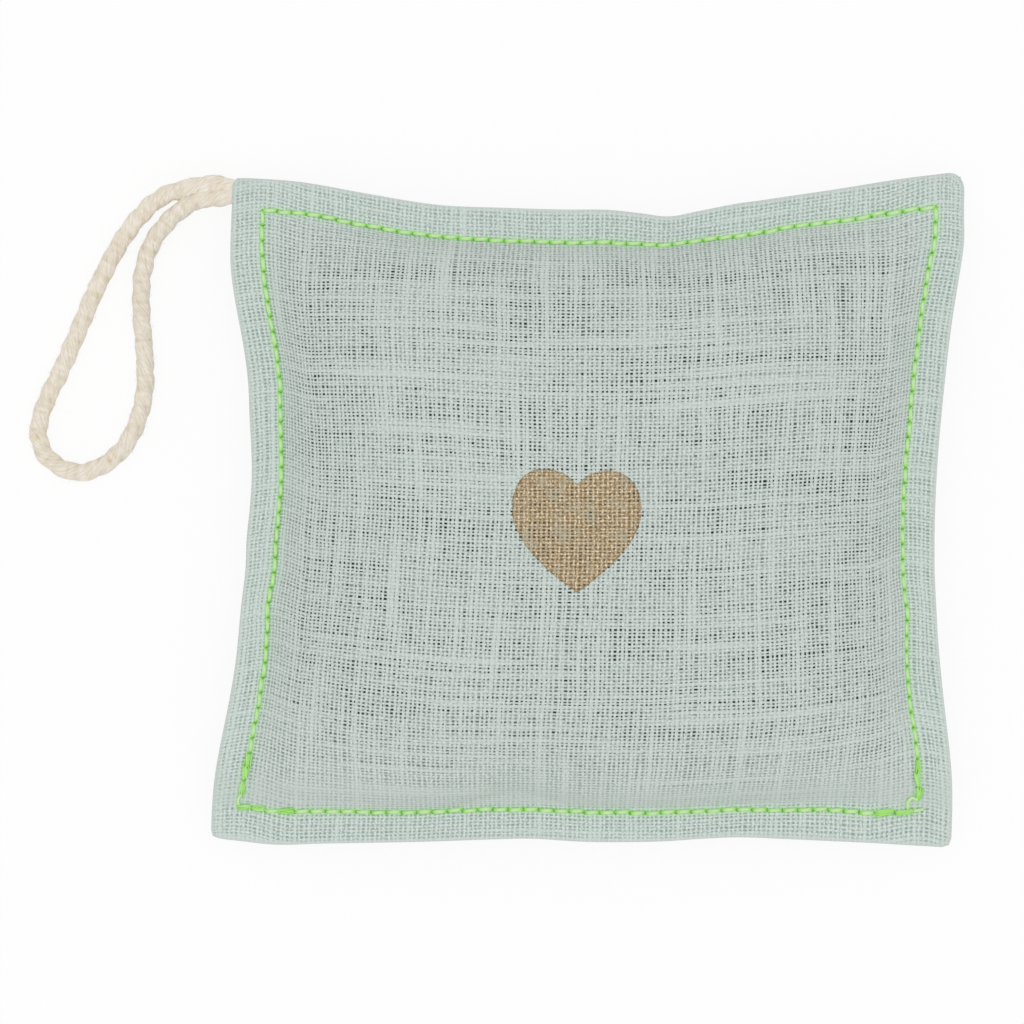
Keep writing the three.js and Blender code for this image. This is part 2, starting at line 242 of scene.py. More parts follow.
# The camera looks straight down, as the photograph does
CAMERA_X = -12.54
CAMERA_Y = -0.56
CAMERA_HEIGHT = 708.6
LENS = 150.0
SENSOR = 36.0


def camera():
    seen = bpy.data.cameras.new("camera")
    seen.lens = LENS
    seen.sensor_width = SENSOR
    seen.clip_start = 0.01
    stand = bpy.data.objects.new("camera", seen)
    stand.location = (CAMERA_X * MM, CAMERA_Y * MM, CAMERA_HEIGHT * MM)
    bpy.context.collection.objects.link(stand)
    bpy.context.scene.camera = stand


camera()


# The cloth: where a place on the flat panel lies on the filled bag


def folded_inset(e):
    """How far in from the folded edge a place lies that is e from the fold along the cloth."""
    turned = FOLD * (1 - np.cos(np.clip(e, -fold_arc, fold_arc) / FOLD))
    return turned + np.maximum(np.abs(e) - fold_arc, 0)


def folded_height(e):
    """How high it lies over the hem."""
    return FOLD * (1 + np.sin(np.clip(e, -fold_arc, fold_arc) / FOLD))


def rounded(in_a, in_b, a, b):
    """Insets from two edges, with the square of each corner turned into a quarter disc."""
    radius = np.ones_like(a)
    for (right, top), size in CORNER_RADII.items():
        radius = np.where((a * right > 0) & (b * top > 0), size, radius)
    u = radius - in_a
    v = radius - in_b
    inside = (u > 0) & (v > 0)
    scale = np.where(inside, np.maximum(u, v) / np.maximum(np.hypot(u, v), 1e-9), 1.0)
    return np.where(inside, radius - u * scale, in_a), np.where(inside, radius - v * scale, in_b)


def crept(across, along):
    """Where flat cloth lies seen from above: it stands steep next to the seam, so less of it shows there."""
    s = np.clip(across / (half_width - border), -1, 1)
    t = np.clip(along / (half_length - border), -1, 1)
    slope_a = SIDE_POWER * FRONT_CROWN / (half_width - border) * (1 - np.abs(t) ** END_POWER)
    slope_b = END_POWER * FRONT_CROWN / (half_length - border) * (1 - np.abs(s) ** SIDE_POWER)
    more_a = slope_a**2 / (4 * SIDE_POWER - 2)
    more_b = slope_b**2 / (4 * END_POWER - 2)
    return (
        across + (half_width - border) * more_a * (s - s * np.abs(s) ** (2 * SIDE_POWER - 2)),
        along + (half_length - border) * more_b * (t - t * np.abs(t) ** (2 * END_POWER - 2)),
    )


def curve_through(points, step):
    """A centripetal curve through points, in steps of about that length."""
    points = np.asarray(points, float)
    points = np.vstack([2 * points[0] - points[1], points, 2 * points[-1] - points[-2]])
    drawn = []
    for p0, p1, p2, p3 in zip(points, points[1:], points[2:], points[3:]):
        spans = [math.sqrt(np.linalg.norm(q - p)) for p, q in ((p0, p1), (p1, p2), (p2, p3))]
        t = np.cumsum([0.0, *spans])
        steps = max(2, round(np.linalg.norm(p2 - p1) / step))
        at = np.linspace(t[1], t[2], steps, endpoint=False)[:, None]
        a1 = ((t[1] - at) * p0 + (at - t[0]) * p1) / (t[1] - t[0])
        a2 = ((t[2] - at) * p1 + (at - t[1]) * p2) / (t[2] - t[1])
        a3 = ((t[3] - at) * p2 + (at - t[2]) * p3) / (t[3] - t[2])
        b1 = ((t[2] - at) * a1 + (at - t[0]) * a2) / (t[2] - t[0])
        b2 = ((t[3] - at) * a2 + (at - t[1]) * a3) / (t[3] - t[1])
        drawn.append(((t[2] - at) * b1 + (at - t[1]) * b2) / (t[2] - t[1]))
    return np.vstack([*drawn, points[-2]])


edge_curves = {side: curve_through(points, SET_STEP) for side, points in EDGE_SETS.items()}
seam_curves = {side: curve_through(points, SET_STEP) for side, points in SEAM_SETS.items()}


def plan(across, along):
    """Seen from above on the filled bag, whose filling draws its sides in."""
    s = across / half_width
    t = along / half_length
    side_pull = np.cos(np.minimum(1, np.abs(t)) * math.pi / 2) ** SIDE_PULL_POWER
    end_pull = np.cos(np.minimum(1, np.abs(s)) * math.pi / 2) ** END_PULL_POWER
    left = (1 - s) / 2
    top = (1 + t) / 2
    x = across + LEAN * t + side_pull * (LEFT_PULL * left - RIGHT_PULL * (1 - left))
    y = along + TAPER * s * t - end_pull * (TOP_PULL * top - BOTTOM_PULL * (1 - top))
    for outward, right, above in ((1, "right", "top"), (-1, "left", "bottom")):
        in_side = half_width - outward * across
        in_end = half_length - outward * along
        for side, place, inset in ((right, along, in_side), (above, across, in_end)):
            out = np.interp(place, *edge_curves[side].T) * np.exp(-((inset / EDGE_REACH) ** 2))
            drawn = np.interp(place, *seam_curves[side].T)
            out = out - drawn * np.exp(-(((inset - STITCH_MARGIN) / SEAM_REACH) ** 2))
            if side == right:
                x = x + outward * out
            else:
                y = y + outward * out
    return x, y


def fullness(across, along):
    """Nothing on the border, 1 in the middle of the pad."""
    s = np.abs(across) / (half_width - border)
    t = np.abs(along) / (half_length - border)
    late = SHELF_DEPTH * np.exp(-(((across - SHELF_X) / SHELF_WIDTH) ** 2))
    t = t + np.where(along < 0, late, 0)
    return np.clip(1 - s**SIDE_POWER, 0, 1) * np.clip(1 - t**END_POWER, 0, 1)


def mouth(across, along):
    """How far each panel lifts over the cord's ends in the top left corner."""
    from_left = half_width + across
    from_top = half_length - along
    inside = 1 - smooth(MOUTH_DEPTH - MOUTH_END, MOUTH_DEPTH, from_left)
    return MOUTH_RISE * inside * smooth(*MOUTH_OPENS, from_top) * (1 - smooth(*MOUTH_CLOSES, from_top))


def stitched(across, along):
    """How deep the border stitching pulls the cloth in, with a dimple at each needle hole."""
    da = stitch_a - np.abs(across)
    db = stitch_b - np.abs(along)
    inner = np.minimum(da, db)
    away = np.where(inner > 0, inner, np.hypot(np.minimum(da, 0), np.minimum(db, 0)))
    pitch_a = 2 * stitch_a / round(2 * stitch_a / STITCH)
    pitch_b = 2 * stitch_b / round(2 * stitch_b / STITCH)
    on_end = np.abs(db) < np.abs(da)
    turn = np.where(on_end, (across + stitch_a) / pitch_a, (along + stitch_b) / pitch_b)
    at_hole = 0.5 + 0.5 * np.cos(2 * math.pi * turn)
    seam = np.exp(-((away / GROOVE_WIDTH) ** 2))
    wide = np.exp(-((away / PUCKER_REACH) ** 2))
    return seam * (GROOVE_DEPTH + DIMPLE * at_hole**DIMPLE_POWER) + PUCKER * wide * at_hole


lump_way = draw.uniform(0, 2 * math.pi, LUMP_WAVES)
lump_length = draw.uniform(*LUMP_LENGTHS, LUMP_WAVES)
lump_start = draw.uniform(0, 2 * math.pi, LUMP_WAVES)


def lumps(across, along):
    total = 0
    for way, length, start in zip(lump_way, lump_length, lump_start):
        reach = across * math.cos(way) + along * math.sin(way)
        total = total + np.sin(2 * math.pi * reach / length + start)
    return LUMP * total


def cloth_place(a, b, face):
    """The outside of the front panel (face 1) or the back one (face -1), at a across and b along it flat."""
    a = np.asarray(a, float)
    b = np.asarray(b, float)
    edge_a = fold_a - np.abs(a)
    edge_b = fold_b - np.abs(b)
    in_a, in_b = rounded(folded_inset(edge_a), folded_inset(edge_b), a, b)
    flat_a = np.sign(a) * (half_width - in_a)
    flat_b = np.sign(b) * (half_length - in_b)
    across, along = crept(flat_a, flat_b)
    outside = (edge_a > 0) & (edge_b > 0)
    x, y = plan(across, along)
    full = np.where(outside, fullness(across, along), 0)
    droop = (np.abs(flat_a) / half_width * np.abs(flat_b) / half_length) ** DROOP_POWER
    middle = SEAM_HEIGHT - CORNER_DROOP * droop
    pulled = np.where(outside, stitched(flat_a, flat_b), 0)
    ply = PLY_GAP + folded_height(np.minimum(edge_a, edge_b)) + mouth(flat_a, flat_b)
    if face > 0:
        z = middle + ply + FRONT_CROWN * full + lumps(across, along) * full**2 - pulled
    else:
        short = 1 - np.clip(full / FOOT_SHARE, 0, 1)
        z = np.maximum((middle - ply + pulled) * short**2, TABLE_GAP)
    return np.stack([x, y, z], axis=-1)


def cloth_up(a, b, face):
    """The cloth's outward direction at a place."""
    step = 0.3
    da = cloth_place(a + step, b, face) - cloth_place(a - step, b, face)
    db = cloth_place(a, b + step, face) - cloth_place(a, b - step, face)
    return unit(np.cross(da, db)) * face


def flat_under(x, y):
    """The place on the flat front panel that lies at x, y seen from above."""
    a = np.array(x, float)
    b = np.array(y, float)
    tries = 30  # each moves the place by what it still misses
    for _ in range(tries):
        place = cloth_place(a, b, 1)
        a = a + x - place[..., 0]
        b = b + y - place[..., 1]
    return a, b


# Where the border is sewn


def seen_at(*places):
    """Places on the flat front panel under points read off the photograph."""
    x, y = np.array(places, float).T
    return np.stack(flat_under(x, y), -1)


# The runs end in the two lower corners
left_turn, left_tack = seen_at((-57.0, -46.9), (-55.6, -40.1))
right_tack, right_turn = seen_at((54.0, -41.0), (54.0, -47.8))
closing_from, closing_tack, closing_pale, closing_next = seen_at(
    (-57.5, -48.8), (-53.1, -49.5), (-50.9, -49.6), (-48.2, -49.7)
)
closing_over, closing_to = seen_at((47.0, -49.9), (53.6, -49.8))
border_run = [left_turn, left_tack, (-stitch_a, stitch_b), (stitch_a, stitch_b), right_tack, right_turn]
closing_run = [closing_from, closing_tack, closing_next, closing_over, closing_to]
SLACK_LEFT = [(-57.0, -46.9), (-57.5, -47.8), (-57.45, -48.7)]
SLACK_RIGHT = [(54.0, -47.8), (53.0, -47.5), (52.4, -48.2), (52.5, -49.3)]
SLACK_TAIL = [(53.4, -49.6), (54.2, -49.5), (55.1, -49.3)]


def from_line(flat, corners):
    """How far places on the flat cloth lie from straight lines between corners."""
    nearest = np.full(len(flat), np.inf)
    for start, end in zip(corners, corners[1:]):
        start = np.array(start, float)
        along = np.array(end, float) - start
        share = np.clip((flat - start) @ along / (along @ along), 0, 1)
        nearest = np.minimum(nearest, np.linalg.norm(flat - start - share[:, None] * along, axis=1))
    return nearest


# Meshes


def piece(name, vertices, faces, finish, uv=None, uv_name="OFBake", marks=None):
    """A smooth mesh object from millimetres, with a place on the flat material for each face corner."""
    mesh = bpy.data.meshes.new(name)
    mesh.from_pydata((vertices * MM).tolist(), [], faces)
    if uv is not None:
        layer = mesh.uv_layers.new(name=uv_name)
        layer.data.foreach_set("uv", np.asarray(uv, np.float32).ravel())
    for mark, values in (marks or {}).items():
        attribute = mesh.attributes.new(mark, "FLOAT", "POINT")
        attribute.data.foreach_set("value", np.asarray(values, np.float32).ravel())
    mesh.polygons.foreach_set("use_smooth", np.ones(len(mesh.polygons), bool))
    mesh.materials.append(finish)
    mesh.update()
    made = bpy.data.objects.new(name, mesh)
    bpy.context.collection.objects.link(made)
    return made


def circle(sides):
    """Angles round a circle of radius 1, and the points there."""
    around = np.arange(sides) / sides * 2 * math.pi
    return around, np.stack([np.cos(around), np.sin(around)], -1)


def upright(count):
    return np.tile([0.0, 0.0, 1.0], (count, 1))


def lengths_along(path):
    """How far along a path each of its points lies."""
    return np.concatenate([[0], np.cumsum(np.linalg.norm(np.diff(path, axis=0), axis=1))])


def swept(path, up, section):
    """A closed tube: section gives, for each place on the path, a ring of offsets to the side and up."""
    ahead = unit(np.gradient(path, axis=0))
    side = unit(np.cross(ahead, up))
    over = np.cross(side, ahead)
    count, sides = section.shape[:2]
    rings = path[:, None] + section[..., :1] * side[:, None] + section[..., 1:] * over[:, None]
    i, k = np.meshgrid(np.arange(count - 1), np.arange(sides), indexing="ij")
    n = (k + 1) % sides
    quads = np.stack([i * sides + k, i * sides + n, (i + 1) * sides + n, (i + 1) * sides + k], -1)
    long = lengths_along(path)
    u = np.stack([k, k + 1, k + 1, k], -1) / sides
    v = np.stack([long[i], long[i], long[i + 1], long[i + 1]], -1)
    uv = np.stack([u, v], -1)
    first = len(rings.reshape(-1, 3)) - sides
    caps = [list(range(sides))[::-1], list(range(first, first + sides))]
    return rings.reshape(-1, 3), quads.reshape(-1, 4), uv.reshape(-1, 4, 2), caps


def plain_tube(path, up, radius, sides):
    _, ring = circle(sides)
    return swept(path, up, np.tile(radius * ring, (len(path), 1, 1)))


def gathered(tubes):
    """Several tubes as one mesh: vertices, faces and face-corner places."""
    vertices = []
    faces = []
    uv = []
    start = 0
    for points, quads, places, caps in tubes:
        vertices.append(points)
        faces += (quads + start).tolist()
        uv += places.reshape(-1, 2).tolist()
        for cap in caps:
            faces.append([v + start for v in cap])
            uv += [[0.0, 0.0]] * len(cap)
        start += len(points)
    return np.concatenate(vertices), faces, uv


def grid_quads(rows, columns):
    i, k = np.meshgrid(np.arange(rows - 1), np.arange(columns - 1), indexing="ij")
    p = (i * columns + k).ravel()
    return np.stack([p, p + columns, p + columns + 1, p + 1], -1)


def closed_sheet(quads, count):
    """Faces of a closed sheet: quads over its first count points, the same over the next, and the rim."""
    edges = np.stack([quads, np.roll(quads, -1, axis=1)], -1).reshape(-1, 2)
    _, place, times = np.unique(np.sort(edges, axis=1), axis=0, return_index=True, return_counts=True)
    rim = edges[place[times == 1]]
    rim_quads = np.stack([rim[:, 1], rim[:, 0], rim[:, 0] + count, rim[:, 1] + count], -1)
    return np.concatenate([quads, quads[:, ::-1] + count, rim_quads])


# Materials


def adder(material):
    """A function that adds a node to a material, sets its settings and feeds its inputs in order."""
    tree = material.node_tree

    def add(kind, *sources, named=None, **settings):
        made = tree.nodes.new("ShaderNode" + kind)
        for key, value in settings.items():
            setattr(made, key, value)
        open_inputs = [socket for socket in made.inputs if socket.enabled]
        fed = list(zip(open_inputs, sources))
        fed += [(made.inputs[key], source) for key, source in (named or {}).items()]
        for socket, source in fed:
            if isinstance(source, bpy.types.NodeSocket):
                tree.links.new(source, socket)
            elif source is not None:
                socket.default_value = source
        return next((socket for socket in made.outputs if socket.enabled), made)

    return add


def new_material(name):
    material = bpy.data.materials.new(name)
    material.use_nodes = True
    material.node_tree.nodes.clear()
    return material, adder(material)


def wandering(add, flat):
    """A place on the flat cloth, moved by as much as the yarns there have left their straight lines."""
    # A few tenths of a millimetre over each two centimetres, a few hundredths from yarn to yarn
    slow = add("TexNoise", flat, 1 / 22.2, 2.0, 0.5, noise_dimensions="2D").node.outputs["Color"]
    moved = add("VectorMath", slow, (0.9, 0.7, 0), flat, operation="MULTIPLY_ADD")
    quick = add("TexNoise", flat, 1 / 1.25, 1.0, 0.5, noise_dimensions="2D").node.outputs["Color"]
    moved = add("VectorMath", quick, (0.12, 0.1, 0), moved, operation="MULTIPLY_ADD")
    # Along both side seams sewing dragged the weft towards the top
    across = add("Math", add("SeparateXYZ", flat), operation="ABSOLUTE")
    aside = add("Math", across, stitch_a, operation="SUBTRACT")
    aside = add("Math", aside, operation="ABSOLUTE")
    drag = add("MapRange", aside, 0.0, DRAG_REACH, -DRAG, 0.0, interpolation_type="SMOOTHSTEP")
    return add("VectorMath", moved, add("CombineXYZ", 0.0, drag, 0.0), operation="ADD")


def over_and_under(add, cell, offs):
    """Relief of the weave from the place across each yarn: the warp is on top at every other crossing."""
    halved = add("VectorMath", cell, (0.5, 0.5, 0.5), operation="MULTIPLY")
    odd = add("VectorMath", halved, operation="FRACTION")
    sign = add("VectorMath", odd, (4, 4, 4), (-1, -1, -1), operation="MULTIPLY_ADD")
    signs = add("SeparateXYZ", sign).node.outputs
    turn = add("Math", signs["X"], signs["Y"], operation="MULTIPLY")
    round_off = add("VectorMath", add("CombineXYZ", *offs), (math.pi,) * 3, operation="MULTIPLY")
    crown = add("SeparateXYZ", add("VectorMath", round_off, operation="COSINE")).node.outputs
    both = add("Math", crown["X"], crown["Y"], operation="MULTIPLY")
    lift = add("Math", add("Math", both, turn, operation="MULTIPLY"), CRIMP, operation="MULTIPLY")
    lowered = add("Math", lift, -1.0, operation="MULTIPLY")
    warp = add("Math", crown["X"], 1 - CRIMP, lift, operation="MULTIPLY_ADD")
    weft = add("Math", crown["Y"], 1 - CRIMP, lowered, operation="MULTIPLY_ADD")
    return add("Math", warp, weft, operation="MAXIMUM")


def weave(add):
    """A plain weave on the flat cloth: sockets for the place, the gaps, the relief, the yarns and chance."""
    uv = add("UVMap", uv_map="OFBake")
    flat = add("VectorMath", uv, (FLAT_SPAN,) * 3, (-FLAT_SPAN / 2,) * 3, operation="MULTIPLY_ADD")
    counted = add("VectorMath", wandering(add, flat), (WARP_PITCH, WEFT_PITCH, 1), operation="DIVIDE")
    cell = add("VectorMath", counted, operation="FLOOR")
    within = add("VectorMath", counted, operation="FRACTION")
    place = add("SeparateXYZ", flat).node.outputs
    yarn = add("SeparateXYZ", cell).node.outputs
    part = add("SeparateXYZ", within).node.outputs
    gap_cell = add("VectorMath", counted, (0.5, 0.5, 0), operation="ADD")
    chance = add("TexWhiteNoise", add("VectorMath", gap_cell, operation="FLOOR"), noise_dimensions="2D")
    # Each yarn swells, thins and strays to a side along its length, and a slub closes the gaps beside it.
    # Layer and step give each yarn a line of its own through the noise. Its middle, its half width and the
    # soft edge of a gap are shares of the pitch
    gaps = []
    yarns = []
    offs = []
    for way, other, layer, step, run, slub, thin in (
        ("X", "Y", 0.0, 5.37, WARP_RUN, WARP_SLUB, WARP_HALF),
        ("Y", "X", 9.0, 4.71, WEFT_RUN, WEFT_SLUB, WEFT_HALF),
    ):
        own = add("Math", yarn[way], step, operation="MULTIPLY")
        along = add("Math", place[other], 1 / run, operation="MULTIPLY")
        thick = add("TexNoise", add("CombineXYZ", own, along, layer), 1.0, 1.0, 0.5, noise_dimensions="3D")
        stray = add("SeparateColor", thick.node.outputs["Color"]).node.outputs["Green"]
        middle = add("MapRange", stray, 0.3, 0.7, 0.36, 0.64)
        off = add("Math", part[way], middle, operation="SUBTRACT")
        away = add("Math", off, operation="ABSOLUTE")
        swell = add("MapRange", thick, 0.56, 0.7, 0.0, slub)
        half = add("MapRange", thick, 0.3, 0.6, thin, thin + 0.09, clamp=False)
        half = add("Math", half, swell, operation="ADD")
        half = add("Math", chance, -0.09, half, operation="MULTIPLY_ADD")
        low = add("Math", half, 0.02, operation="SUBTRACT")
        high = add("Math", half, 0.15, operation="ADD")
        gaps.append(add("MapRange", away, low, high, 0.0, 1.0, interpolation_type="SMOOTHSTEP"))
        yarns.append(thick)
        offs.append(off)
    gap = add("Math", *gaps, operation="MULTIPLY")
    thick = add("Math", *yarns, operation="MAXIMUM")
    return flat, gap, over_and_under(add, cell, offs), thick, chance


def linen():
    """Flax linen in plain weave, spun from uneven fibre and washed soft.

    It looks matt and open: pale mint yarns, thick and thin, with painted highlights on their tops and painted
    shade down their sides, and gaps in painted shade that are pale over the hems and dark over the filling.
    """
    material, add = new_material("linen_plain_weave")
    flat, gap, relief, thick, chance = weave(add)
    marks = ("gap_shade", "over_pad", "aslant", "folded", "green_bounce")
    read = [add("Attribute", attribute_name=mark).node.outputs["Fac"] for mark in marks]
    gap_shade, over_pad, aslant, folded, green_bounce = read
    # Yarn: a painted highlight on its rounded top and painted shade, greyer, down its sides, more even in a
    # slub. Its fibres are drawn as bundles 0.4 mm across, coarse enough to show
    fibre = add("TexNoise", flat, 1 / 0.385, 2.0, 0.6, noise_dimensions="2D")
    uneven = add("Math", fibre, 0.5, operation="SUBTRACT")
    height = add("Math", uneven, 2.0, relief, operation="MULTIPLY_ADD")
    side = add("MapRange", height, 0.1, 1.1, 0.0, 1.0)
    shaded_yarn = add("Mix", side, linear("#A4B3AC"), linear("#D8E5DF"), data_type="RGBA")
    pale = add("MapRange", thick, 0.54, 0.68, 0.0, 0.4)
    slub = add("Mix", pale, shaded_yarn, linear("#D2DFD9"), data_type="RGBA")
    # Over the bottom seam the cloth stands steep: its yarns look even, and its gaps are seen aslant
    even = add("Math", aslant, 0.5, operation="MULTIPLY")
    slub = add("Mix", even, slub, linear("#C3D0CA"), data_type="RGBA")
    narrowed = add("MapRange", aslant, 0.0, 1.0, 1.0, 0.45)
    # Over the filling the thin cloth looks a little warmer
    warm = add("Mix", over_pad, slub, linear("#FFFAFB"), data_type="RGBA", blend_type="MULTIPLY")
    # Gaps in painted shade: the hem behind the border shows pale and the filling behind the pad dark, as
    # they look in shade, in clusters 20 mm long and 3 mm wide along the weft
    drawn_out = add("VectorMath", flat, (20.0, 3.333, 1), operation="DIVIDE")
    cluster = add("TexNoise", drawn_out, 1.0, 3.0, 0.7, noise_dimensions="2D")
    mixed = add("Math", chance, 0.22, cluster, operation="MULTIPLY_ADD")
    deep = add("MapRange", mixed, 0.455, 0.745, 0.16, 1.0)
    dark = add("Math", deep, gap_shade, operation="MULTIPLY")
    gap_shade_colour = add("Mix", dark, linear("#A0B0A8"), linear("#171A16"), data_type="RGBA")
    # Along the fold the gaps close and the cloth greys
    closed = add("MapRange", folded, 0.0, 1.0, 1.0, 0.3)
    shown = add("Math", gap, closed, operation="MULTIPLY")
    shown = add("Math", shown, narrowed, operation="MULTIPLY")
    colour = add("Mix", shown, warm, gap_shade_colour, data_type="RGBA")
    greyed = add("Math", folded, 0.65, operation="MULTIPLY")
    colour = add("Mix", greyed, colour, linear("#D0D7D3"), data_type="RGBA")
    # Painted light: the bright thread throws some of its green light on the cloth beside it
    colour = add("Mix", green_bounce, colour, linear("#A8F070"), data_type="RGBA")
    open_depth = add("Math", shown, -0.6, relief, operation="MULTIPLY_ADD")
    bump = add("Bump", named={"Strength": 0.35, "Distance": 0.12 * MM, "Height": open_depth})
    shader = add(
        "BsdfPrincipled",
        named={
            "Base Color": colour,
            "Roughness": 0.88,
            "Specular IOR Level": 0.25,
            "Sheen Weight": 0.1,
            "Sheen Roughness": 0.5,
            "Normal": bump,
        },
    )
    add("OutputMaterial", shader)
    return material


def gilt_print():
    """Bronze ink screen-printed on the linen.

    It lies on the tops of the yarns and stays out of the gaps, so the weave shows through in gold and brown,
    with painted highlights on the yarns' tops, painted shade down their sides and in the gaps, small painted
    glints and thin places.
    """
    material, add = new_material("gilt_ink_on_linen")
    flat, gap, relief, _, chance = weave(add)
    # Ink: a painted highlight on the yarns' tops and painted shade, brown, down their sides, uneven over each
    # half millimetre
    fibre = add("TexNoise", flat, 1 / 0.5, 2.0, 0.6, noise_dimensions="2D")
    uneven = add("Math", fibre, 0.5, operation="SUBTRACT")
    height = add("Math", uneven, 1.6, relief, operation="MULTIPLY_ADD")
    side = add("MapRange", height, 0.3, 1.1, 0.0, 1.0)
    shaded_ink = add("Mix", side, linear("#846F4D"), linear("#C3AF8B"), data_type="RGBA")
    # Painted glints: flakes of bronze that lie flat to the light here and there, painted as highlights 0.3 mm
    # wide so that they show
    flake = add("TexNoise", flat, 1 / 0.3125, 1.0, 0.5, noise_dimensions="2D")
    bright = add("Math", flake, 3.0, height, operation="MULTIPLY_ADD")
    painted_glint = add("MapRange", bright, 2.45, 3.1, 0.0, 1.0)
    glinted = add("Mix", painted_glint, shaded_ink, linear("#E6D8BE"), data_type="RGBA")
    # Thin places some 4 mm wide, where the linen's colour comes through
    worn = add("TexNoise", flat, 1 / 4.0, 2.0, 0.6, noise_dimensions="2D")
    thin = add("MapRange", worn, 0.5, 0.68, 0.0, 0.62)
    printed = add("Mix", thin, glinted, linear("#AAA58E"), data_type="RGBA")
    # Gaps in painted shade, darker in clusters some 6 mm wide
    cluster = add("TexNoise", flat, 1 / 6.25, 2.0, 0.55, noise_dimensions="2D")
    mixed = add("Math", chance, 0.3, cluster, operation="MULTIPLY_ADD")
    deep = add("MapRange", mixed, 0.55, 0.9, 0.0, 1.0)
    gap_shade_colour = add("Mix", deep, linear("#786142"), linear("#2E2413"), data_type="RGBA")
    colour = add("Mix", gap, printed, gap_shade_colour, data_type="RGBA")
    open_depth = add("Math", gap, -0.6, relief, operation="MULTIPLY_ADD")
    bump = add("Bump", named={"Strength": 0.4, "Distance": 0.12 * MM, "Height": open_depth})
    shader = add(
        "BsdfPrincipled",
        named={"Base Color": colour, "Metallic": 0.2, "Roughness": 0.5, "Normal": bump},
    )
    add("OutputMaterial", shader)
    return material


PLIES = 3  # of a sewing thread
PLY_TWIST = 0.5  # length of one turn of a ply


def sewing_thread(name, pale, rich, deep):
    """Spun polyester sewing thread of three twisted plies.

    It has a soft shine, a fine slant from ply to ply with painted shade between the plies, and painted shade,
    a deeper colour, where it dives into the cloth.
    """
    material, add = new_material(name)
    # Painted shade at the needle holes, and the richer tint of some strands
    hole_shade_and_tint = add("Attribute", attribute_name="hole_shade_and_tint").node.outputs["Fac"]
    along = add("SeparateXYZ", add("UVMap", uv_map="along")).node.outputs
    turns = add("Math", along["Y"], 1 / PLY_TWIST, along["X"], operation="MULTIPLY_ADD")
    round_ply = add("Math", turns, 2 * math.pi * PLIES, operation="MULTIPLY")
    ply = add("Math", round_ply, operation="SINE")
    # Painted shade in the grooves between the plies
    shade = add("MapRange", ply, -1.0, 1.0, 0.15, 0.0)
    both = add("Math", hole_shade_and_tint, shade, operation="ADD", use_clamp=True)
    first = add("MapRange", both, 0.0, 0.4, 0.0, 1.0)
    second = add("MapRange", both, 0.4, 0.9, 0.0, 1.0)
    colour = add("Mix", first, linear(pale), linear(rich), data_type="RGBA")
    colour = add("Mix", second, colour, linear(deep), data_type="RGBA")
    bump = add("Bump", named={"Strength": 0.5, "Distance": 0.05 * MM, "Height": ply})
    shader = add(
        "BsdfPrincipled",
        named={"Base Color": colour, "Roughness": 0.45, "Sheen Weight": 0.3, "Normal": bump},
    )
    add("OutputMaterial", shader)
    return material


STREAKS = 22.4  # streaks of fibre round a strand
STREAK_LENGTH = 1.25


def cotton():
    """Unbleached cotton cord, three loosely spun strands laid together.

    It is matt and fibrous: cream on the outside of the strands with yellow specks, which grow stronger in the
    valleys between them as painted shade.
    """
    material, add = new_material("cotton_three_strand_cord")
    valley = add("Attribute", attribute_name="valley").node.outputs["Fac"]
    along = add("UVMap", uv_map="along")
    # Fibres a few hundredths of a millimetre wide, drawn as streaks of about 0.15 mm so that they show.
    # They turn with their strand
    part = add("SeparateXYZ", along).node.outputs
    turned = add("Math", part["Y"], -1 / CORD_LAY, part["X"], operation="MULTIPLY_ADD")
    laid = add("CombineXYZ", turned, part["Y"], 0.0)
    stretched = add("VectorMath", laid, (STREAKS, 1 / STREAK_LENGTH, 1), operation="MULTIPLY")
    fibre = add("TexNoise", stretched, 1.0, 3.0, 0.6, noise_dimensions="2D")
    streak = add("MapRange", fibre, 0.35, 0.65, 0.0, 1.0)
    cream = add("Mix", streak, linear("#E2D8C7"), linear("#F6EEE1"), data_type="RGBA")
    # Yellow spots about a millimetre long, strongest in the valleys, where they also darken the cord as
    # painted shade
    spots = add("TexNoise", along, 1 / 1.111, 2.0, 0.5, noise_dimensions="2D")
    speck = add("MapRange", spots, 0.48, 0.66, 0.0, 1.0)
    valley_shade = add("MapRange", valley, 0.0, 1.0, 0.25, 0.9)
    specks_and_valley_shade = add("Math", valley_shade, speck, operation="MULTIPLY")
    colour = add("Mix", specks_and_valley_shade, cream, linear("#D6C49D"), data_type="RGBA")
    bump = add("Bump", named={"Strength": 0.5, "Distance": 0.1 * MM, "Height": fibre})
    shader = add(
        "BsdfPrincipled",
        named={
            "Base Color": colour,
            "Roughness": 0.95,
            "Specular IOR Level": 0.15,
            "Sheen Weight": 0.25,
            "Normal": bump,
        },
    )
    add("OutputMaterial", shader)
    return material


BUD_LENGTH = 2.5
HUSK_FLAKE = 1.2


def lavender():
    """Dried lavender buds rubbed off their stems: matt grey violet husks with brown and straw flecks."""
    material, add = new_material("dried_lavender_buds")
    place = add("TexCoord").node.outputs["Object"]
    buds = add("TexVoronoi", place, 1 / (BUD_LENGTH * MM)).node.outputs["Color"]
    kind = add("SeparateColor", buds)
    husk = add("Mix", kind, linear("#4B465E"), linear("#7C7486"), data_type="RGBA")
    flake = add("TexNoise", place, 1 / (HUSK_FLAKE * MM), 3.0, 0.6)
    straw = add("MapRange", flake, 0.55, 0.75, 0.0, 1.0)
    colour = add("Mix", straw, husk, linear("#8B7A5C"), data_type="RGBA")
    bump = add("Bump", named={"Strength": 0.6, "Distance": 0.3 * MM, "Height": flake})
    shader = add("BsdfPrincipled", named={"Base Color": colour, "Roughness": 0.95, "Normal": bump})
    add("OutputMaterial", shader)
    return material


